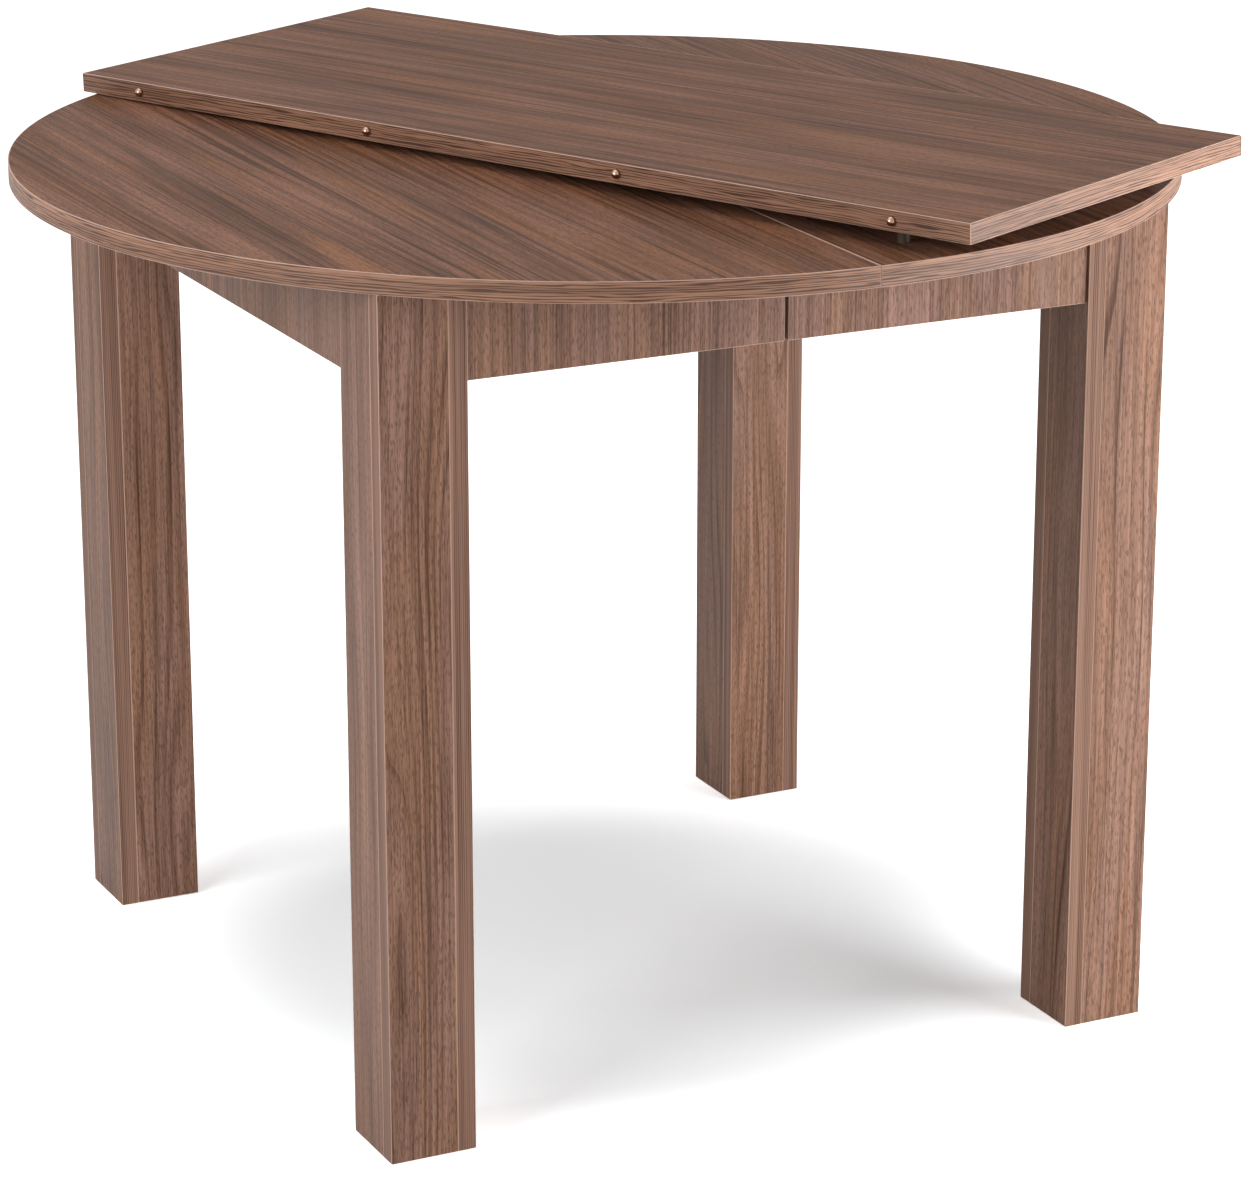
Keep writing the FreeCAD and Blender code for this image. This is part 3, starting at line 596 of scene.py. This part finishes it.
bronze = bronzed_steel("bronzed_steel")
pin_height = (top_low + top_high) / 2
seam_pins = pin_row(lambda step: Matrix.Translation((half_seam, step, pin_height))
                    @ Matrix.Rotation(-QUARTER, 4, "Y"))
finish_piece(seam_pins, "domed_seam_pins", "right_half", [bronze], ["seam_pins"])


# Legs: square boxes of four boards, each lapping the edge of the next.  Every board is faced
# with the walnut decor, its long edges are edged with ABS, and its sawn ends show the chips.
BOARD_GLOSS = 0.12
FLAKES_PER_METRE = 620.0


def chipboard(name):
    """Raw chipboard: pressed pale and dark flakes a millimetre or two long, rough and matt."""
    made = new_material(name)
    tree = made.node_tree
    here = node(tree, "ShaderNodeTexCoord").outputs["Object"]
    flakes = node(tree, "ShaderNodeTexVoronoi", {"Vector": here, "Scale": FLAKES_PER_METRE})
    chip = node(tree, "ShaderNodeSeparateColor", {0: flakes.outputs["Color"]})
    colour = node(tree, "ShaderNodeMix", {"Factor": chip, "A": hex_colour("8a6a48"),
                                          "B": hex_colour("d0b48c")}, data_type="RGBA")
    bump = node(tree, "ShaderNodeBump", {"Height": chip, "Strength": 0.4, "Distance": 0.0005})
    core = node(tree, "ShaderNodeBsdfPrincipled", {
        "Base Color": colour, "Roughness": 0.9, "Normal": bump})
    node(tree, "ShaderNodeOutputMaterial", {"Surface": core})
    return made


FACED, EDGED, SAWN = range(3)


def faced_board(low, high, grain_axis, board, sawn_ends=True):
    """A laminated board with edged long sides, eased at its arrises, and its three finishes."""
    block = box_between(low, high)
    size = Vector(high) - Vector(low)
    thin = min(range(3), key=lambda axis: size[axis])
    # Every eased arris is marked for the painted highlight.
    ease(block, block.edges[:], ARRIS)
    for face in block.faces:
        main = max(range(3), key=lambda axis: abs(face.normal[axis]))
        face.material_index = EDGED
        if main == thin:
            face.material_index = FACED
        elif main == grain_axis and sawn_ends:
            face.material_index = SAWN
    wide = next(axis for axis in range(3) if axis not in (thin, grain_axis))
    lay_grain(block, lambda at: (at[grain_axis], at[wide] + at[thin]), board=board)
    edged_ends = [face for face in block.faces
                  if abs(face.normal[grain_axis]) > FACING and face.material_index == EDGED]
    if edged_ends:
        lay_grain(block, lambda at: (at[wide], at[thin]), board=board, faces=edged_ends)
    return block


raw_core = chipboard("raw_chipboard")
board_band = edge_band("walnut_abs_board_edging", board_grain, EDGE_LINES["boards"], BOARD_GLOSS)
board_decor = walnut_decor("walnut_melamine_boards", board_grain, FIGURES["boards"], BOARD_GLOSS)
leg_boards = [(half, f"leg_{end}_{half}_{part}") for half in HALVES
              for end in ("front", "back") for part in ("face", "inner", "rear", "outer")]
for number, (half, name) in enumerate(leg_boards, BOARD_NUMBERS["legs"]):
    board = faced_board(*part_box(name), grain_axis=2, board=number)
    finish_piece(board, f"{name}_board", f"{half}_half",
                 [board_decor, board_band, raw_core], [name])


# Leg heads and feet: a beech block inside each leg takes the screws, and a black polypropylene
# pad, pressed in and rounded round its lower rim, closes the leg at the floor.
PAD_ROUNDING = 0.001
BEECH_CLOUD = {"width": 0.012, "length": 0.2}
RAY_FLECK = {"width": 0.0009, "length": 0.004}
RAY_OFFSET = 4.4
RAY_SHOWS = (0.6, 0.7)
RAY_SHARE = 0.4
GRIT_PER_METRE = 1400.0


def planed_beech(name, grain_of):
    """Planed beech: pale pinkish tan, with the short dark flecks of its rays."""
    made = new_material(name)
    tree = made.node_tree
    grain = grain_of(tree)
    clouds = streaks(tree, grain, **BEECH_CLOUD, detail=3.0)
    flecks = streaks(tree, grain, **RAY_FLECK, detail=1.0, offset=RAY_OFFSET)
    rays = node(tree, "ShaderNodeMapRange", {
        "Value": flecks, "From Min": RAY_SHOWS[0], "From Max": RAY_SHOWS[1],
        "To Max": RAY_SHARE})
    wood = node(tree, "ShaderNodeMix", {"Factor": clouds, "A": hex_colour("ad7e5e"),
                                        "B": hex_colour("deb694")}, data_type="RGBA")
    flecked = node(tree, "ShaderNodeMix", {"Factor": rays, "A": wood,
                                           "B": hex_colour("8a6038")}, data_type="RGBA")
    bump = node(tree, "ShaderNodeBump", {"Height": clouds, "Strength": 0.2, "Distance": 0.0005})
    body = node(tree, "ShaderNodeBsdfPrincipled", {
        "Base Color": flecked, "Roughness": 0.62, "Specular IOR Level": 0.25, "Normal": bump})
    node(tree, "ShaderNodeOutputMaterial", {"Surface": body})
    return made


def moulded_polypropylene(name):
    """Moulded black polypropylene: low sheen, with a fine spark-eroded grain."""
    made = new_material(name)
    tree = made.node_tree
    here = node(tree, "ShaderNodeTexCoord").outputs["Object"]
    grit = node(tree, "ShaderNodeTexNoise", {
        "Vector": here, "Scale": GRIT_PER_METRE, "Detail": 2.0})
    colour = node(tree, "ShaderNodeMix", {"Factor": grit, "A": hex_colour("141210"),
                                          "B": hex_colour("2a2624")}, data_type="RGBA")
    bump = node(tree, "ShaderNodeBump", {"Height": grit, "Strength": 0.25, "Distance": 0.0002})
    skin = node(tree, "ShaderNodeBsdfPrincipled", {
        "Base Color": colour, "Roughness": 0.55, "Normal": bump})
    node(tree, "ShaderNodeOutputMaterial", {"Surface": skin})
    return made


def merged_copy(name):
    """A copy of a node's mesh with its loose triangles joined into whole faces."""
    shape = bmesh.new()
    shape.from_mesh(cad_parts[name].data)
    bmesh.ops.remove_doubles(shape, verts=shape.verts, dist=MICRON)
    bmesh.ops.dissolve_limit(shape, angle_limit=math.radians(1), verts=shape.verts,
                             edges=shape.edges)
    return shape


def solids_of(name):
    """The points of each separate solid that one node holds, with its lowest and highest corner."""
    solid = merged_copy(name)
    left = set(solid.verts)
    found = []
    while left:
        reached = {left.pop()}
        latest = list(reached)
        while latest:
            beside = {edge.other_vert(vert) for vert in latest for edge in vert.link_edges}
            latest = list(beside - reached)
            reached |= beside
        left -= reached
        points = [vert.co.copy() for vert in reached]
        found.append((points, Vector(map(min, zip(*points))), Vector(map(max, zip(*points)))))
    solid.free()
    return sorted(found, key=lambda one: tuple(one[1]))


def upright_grain(tree):
    """Grain coordinates of upright timber."""
    return object_grain(tree, (0, 0, 0), (0, -QUARTER, 0))


block_beech = planed_beech("planed_beech_blocks", upright_grain)
black_plastic = moulded_polypropylene("black_polypropylene")
for half in HALVES:
    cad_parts[f"{half}_leg_blocks"].material_slots[0].material = block_beech
    pads = []
    for points, low, high in solids_of(f"{half}_foot_pads"):
        pad = box_between(low, high)
        lower = [edge for edge in pad.edges
                 if all(vert.co.z < low.z + PAD_ROUNDING for vert in edge.verts)]
        bmesh.ops.bevel(pad, geom=lower, offset=PAD_ROUNDING, segments=3, affect="EDGES",
                        profile=0.5, material=-1)
        pads.append(pad)
    finish_piece(joined(pads), f"{half}_foot_glides", f"{half}_half",
                 [black_plastic], [f"{half}_foot_pads"])


# Aprons: boards of the same decor with upright grain, edged along the bottom and at the ends.
# The end aprons are whole; front and back have two half aprons each, which part at the seam.
apron_decor = walnut_decor("walnut_melamine_aprons", board_grain, FIGURES["aprons"], BOARD_GLOSS)
aprons = [(half, name) for half in HALVES
          for name in (f"{half}_end_apron", f"front_{half}_apron", f"back_{half}_apron")]
for number, (half, name) in enumerate(aprons, BOARD_NUMBERS["aprons"]):
    board = faced_board(*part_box(name), grain_axis=2, board=number, sawn_ends=False)
    finish_piece(board, f"{name}_board", f"{half}_half",
                 [apron_decor, board_band], [name])


# Bearers: planed beech rails screwed up under the tops, with their long edges rounded over.
# Those of the two halves lie side by side, and pass each other as the table is drawn out.
BEARER_ROUNDING = 0.002
RAIL_CORNER = math.radians(60)

rail_beech = planed_beech("planed_beech_rails", object_grain)
for end in ("front", "back"):
    for half in HALVES:
        rail = merged_copy(f"{end}_{half}_bearer")
        bmesh.ops.bevel(rail, geom=sharp_edges(rail, RAIL_CORNER), offset=BEARER_ROUNDING,
                        segments=3, affect="EDGES", profile=0.5, material=-1)
        finish_piece(rail, f"{end}_{half}_bearer_rail", f"{half}_half", [rail_beech],
                     [f"{end}_{half}_bearer"])


# Runners: telescopic slides, rolled from steel strip and zinc plated, so that every bend along
# them is rounded.  The outer member is screwed to the left bearer, the inner one to the right.
BEND_ROUNDING = 0.0007
ROLLING_LINE = {"width": 0.0006, "length": 0.15}
BLOTCHES_PER_METRE = 70.0
# A bend runs along nearly the whole length of its member.
BEND_RUN = 0.99
RUNNER_BODIES = {"outer": "left_half", "middle": "{end}_middle_runner", "inner": "right_half"}


def zinc_steel(name, dark, light):
    """Rolled steel with zinc plating: faint rolling lines and a blotchy grey sheen."""
    made = new_material(name)
    tree = made.node_tree
    grain = object_grain(tree)
    rolled = streaks(tree, grain, **ROLLING_LINE)
    blotches = node(tree, "ShaderNodeTexNoise", {
        "Vector": grain, "Scale": BLOTCHES_PER_METRE, "Detail": 3.0})
    plate = node(tree, "ShaderNodeMix", {"Factor": blotches, "A": hex_colour(dark),
                                         "B": hex_colour(light)}, data_type="RGBA")
    shine = node(tree, "ShaderNodeMapRange", {"Value": rolled, "To Min": 0.28, "To Max": 0.48})
    bump = node(tree, "ShaderNodeBump", {"Height": rolled, "Strength": 0.1, "Distance": 0.0002})
    skin = node(tree, "ShaderNodeBsdfPrincipled", {
        "Base Color": plate, "Metallic": 1.0, "Roughness": shine, "Normal": bump})
    node(tree, "ShaderNodeOutputMaterial", {"Surface": skin})
    return made


zinc = zinc_steel("zinc_plated_steel", dark="9a9c9e", light="c4c6c8")
for end in ("front", "back"):
    for member, body in RUNNER_BODIES.items():
        member_rail = merged_copy(f"{end}_{member}_runner")
        low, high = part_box(f"{end}_{member}_runner")
        bends = [edge for edge in sharp_edges(member_rail)
                 if edge.calc_length() > (high.x - low.x) * BEND_RUN]
        bmesh.ops.bevel(member_rail, geom=bends, offset=BEND_ROUNDING, segments=2,
                        affect="EDGES", profile=0.5, material=-1)
        finish_piece(member_rail, f"{end}_{member}_runner_rail", body.format(end=end),
                     [zinc], [f"{end}_{member}_runner"])


# Angles and screws: bent steel angles with rounded corners hold aprons, tops and legs together.
# All screws are countersunk, with a cross recess, in yellow zinc; their heads lie just proud.
ANGLE_STEEL = 0.002
ANGLE_CORNER = 0.004
HEAD_DIAMETER = 0.007
HEAD_DEPTH = 0.0015
SHANK_DIAMETER = 0.0035
HEAD_PROUD = 0.0002
CROSS_WIDTH = 0.0009
CROSS_LENGTH = 0.0038
CROSS_DEPTH = 0.0011
CROSS_TAPER = 0.5
TIP_SHARE = 0.1
SCREW_SIDES = 24


def push(shape, edges, drop, shrink):
    """Draws a ring of edges down by a drop and in by a share, and gives the new ring."""
    drawn = bmesh.ops.extrude_edge_only(shape, edges=edges)["geom"]
    verts = [part for part in drawn if isinstance(part, bmesh.types.BMVert)]
    bmesh.ops.translate(shape, vec=(0, 0, -drop), verts=verts)
    bmesh.ops.scale(shape, vec=(shrink, shrink, 1), verts=verts)
    return [part for part in drawn if isinstance(part, bmesh.types.BMEdge)
            and all(vert in verts for vert in part.verts)]


def cross_screw(length):
    """A countersunk screw that points down from the top of its head at Z = 0."""
    screw = bmesh.new()
    bmesh.ops.create_circle(screw, segments=SCREW_SIDES, radius=HEAD_DIAMETER / 2)
    rim = screw.edges[:]
    near, far = CROSS_WIDTH / 2, CROSS_LENGTH / 2
    corners = [Matrix.Rotation(turn * QUARTER, 3, "Z") @ Vector((x, y, 0))
               for turn in range(4) for x, y in ((near, far), (-near, far), (-near, near))]
    verts = [screw.verts.new(corner) for corner in corners]
    cross = [screw.edges.new((verts[number - 1], verts[number])) for number in range(len(verts))]
    bmesh.ops.triangle_fill(screw, edges=screw.edges[:], use_beauty=True, normal=(0, 0, 1))
    floor_of_cross = push(screw, cross, CROSS_DEPTH, CROSS_TAPER)
    bmesh.ops.holes_fill(screw, edges=floor_of_cross)
    neck = push(screw, rim, HEAD_DEPTH, SHANK_DIAMETER / HEAD_DIAMETER)
    taper = push(screw, neck, length - 2 * HEAD_DEPTH, 1.0)
    bmesh.ops.holes_fill(screw, edges=push(screw, taper, HEAD_DEPTH, TIP_SHARE))
    return screw


def screws_of(name):
    """A screw in the place of each solid of a node, its head at the wide end."""
    screws = []
    for points, low, high in solids_of(name):
        size = high - low
        axis = max(range(3), key=lambda each: size[each])
        middle = (low + high) / 2
        widest = max(points, key=lambda point: sum((point[each] - middle[each]) ** 2
                                                   for each in range(3) if each != axis))
        outward = Vector((0, 0, 0))
        outward[axis] = math.copysign(1, widest[axis] - middle[axis])
        top = middle + outward * (size[axis] / 2 + HEAD_PROUD)
        screw = cross_screw(size[axis])
        turn = outward.to_track_quat("Z", "Y").to_matrix().to_4x4()
        screw.transform(Matrix.Translation(top) @ turn)
        screws.append(screw)
    return joined(screws)


yellow_zinc = zinc_steel("yellow_zinc_screws", dark="a8946a", light="d0c094")
for half in HALVES:
    angles = merged_copy(f"{half}_angles")
    tips = [edge for edge in angles.edges
            if abs(edge.calc_length() - ANGLE_STEEL) < 10 * MICRON]
    bmesh.ops.bevel(angles, geom=tips, offset=ANGLE_CORNER, segments=4, affect="EDGES",
                    profile=0.5, material=-1)
    finish_piece(angles, f"{half}_bent_angles", f"{half}_half", [zinc],
                 [f"{half}_angles"])
    for part in ("angle_screws", "bearer_screws", "runner_screws"):
        finish_piece(screws_of(f"{half}_{part}"), f"{half}_cross_{part}", f"{half}_half",
                     [yellow_zinc], [f"{half}_{part}"])


# Loose leaf: a rectangular board of the same decor, grain along its length, lying askew on the
# closed top.  It is edged on all four sides; the near long edge holds four domed pins and the
# far one has the holes for the next edge.
LEAF_MIDDLE = (0.0435, 0.012)
LEAF_LIFT = 0.012
LEAF_TURN = math.radians(-67.3)
LEAF_RISE_LONG = math.radians(0.73)
LEAF_RISE_CROSS = math.radians(1.49)
LEAF_WIDTH = 0.370

leaf_turns = (LEAF_RISE_CROSS, -LEAF_RISE_LONG, LEAF_TURN)
leaf_origin = (*LEAF_MIDDLE, top_high + LEAF_LIFT)
leaf_place = Matrix.Translation(leaf_origin) @ Euler(leaf_turns).to_matrix().to_4x4()
leaf_length = 2 * rim_radius
leaf_thickness = top_high - top_low

leaf_decor = walnut_decor("walnut_melamine_leaf",
                          lambda tree: object_grain(tree, leaf_origin, leaf_turns),
                          FIGURES["tops"], TOP_GLOSS)
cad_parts["leaf_board"].material_slots[0].material = leaf_decor

leaf_box_low = (-leaf_length / 2, -LEAF_WIDTH / 2, 0)
leaf_box_high = (leaf_length / 2, LEAF_WIDTH / 2, leaf_thickness)


def leaf_edging(shape, name, board, along, stands_for):
    """Eases a band of the leaf, marks its painted highlights, and lays it on the leaf."""
    ease(shape, outline_edges(shape, leaf_box_low, leaf_box_high), ARRIS)
    paint_band_highlights(shape)
    lay_grain(shape, lambda at: (at[along], at[1 - along] + at.z), board=board)
    shape.transform(leaf_place)
    finish_piece(shape, name, "leaf", [top_band], stands_for)


near_edge = drilled_strip(leaf_length, leaf_thickness, BAND_THICKNESS, SEAT_RADIUS)
bmesh.ops.translate(near_edge, vec=(0, -LEAF_WIDTH / 2, 0), verts=near_edge.verts)
leaf_edging(near_edge, "leaf_near_edging", BOARD_NUMBERS["leaf_near"], 0, ["leaf_near_band"])

far_edge = drilled_strip(leaf_length, leaf_thickness, BAND_THICKNESS, HOLE_RADIUS)
bmesh.ops.translate(far_edge, vec=(0, LEAF_WIDTH / 2 - BAND_THICKNESS, 0), verts=far_edge.verts)
leaf_edging(far_edge, "leaf_far_edging", BOARD_NUMBERS["leaf_far"], 0, ["leaf_far_band"])

end_half = LEAF_WIDTH / 2 - BAND_THICKNESS
end_strips = joined([
    box_between((-leaf_length / 2, -end_half, 0),
                (-leaf_length / 2 + BAND_THICKNESS, end_half, leaf_thickness)),
    box_between((leaf_length / 2 - BAND_THICKNESS, -end_half, 0),
                (leaf_length / 2, end_half, leaf_thickness))])
leaf_edging(end_strips, "leaf_end_edging", BOARD_NUMBERS["leaf_ends"], 1, ["leaf_end_bands"])

leaf_pins = pin_row(lambda step: leaf_place
                    @ Matrix.Translation((step, -LEAF_WIDTH / 2, leaf_thickness / 2))
                    @ Matrix.Rotation(QUARTER, 4, "X"))
finish_piece(leaf_pins, "domed_leaf_pins", "leaf", [bronze], ["leaf_pins"])


# Spacers: short rods of clear silicone stuck under the leaf, cut to the level of the top.  They
# carry the leaf at its slope and keep it from scratching the melamine.
HAZE_PER_METRE = 300.0


def clear_silicone(name):
    """Clear silicone: soft and rubbery, a little milky, with a dull gloss; its dim brown is painted
    shade.
    """
    made = new_material(name)
    tree = made.node_tree
    here = node(tree, "ShaderNodeTexCoord").outputs["Object"]
    haze = node(tree, "ShaderNodeTexNoise", {
        "Vector": here, "Scale": HAZE_PER_METRE, "Detail": 2.0})
    # Dim brown tint: painted shade for the shadow under the leaf, where the spacers stand.
    colour = node(tree, "ShaderNodeMix", {"Factor": haze, "A": hex_colour("5e4e40"),
                                          "B": hex_colour("736252")}, data_type="RGBA")
    rubber = node(tree, "ShaderNodeBsdfPrincipled", {
        "Base Color": colour, "Roughness": 0.4, "IOR": 1.41, "Transmission Weight": 0.6,
        "Specular IOR Level": 0.3})
    node(tree, "ShaderNodeOutputMaterial", {"Surface": rubber})
    return made


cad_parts["leaf_spacers"].material_slots[0].material = clear_silicone("clear_silicone")
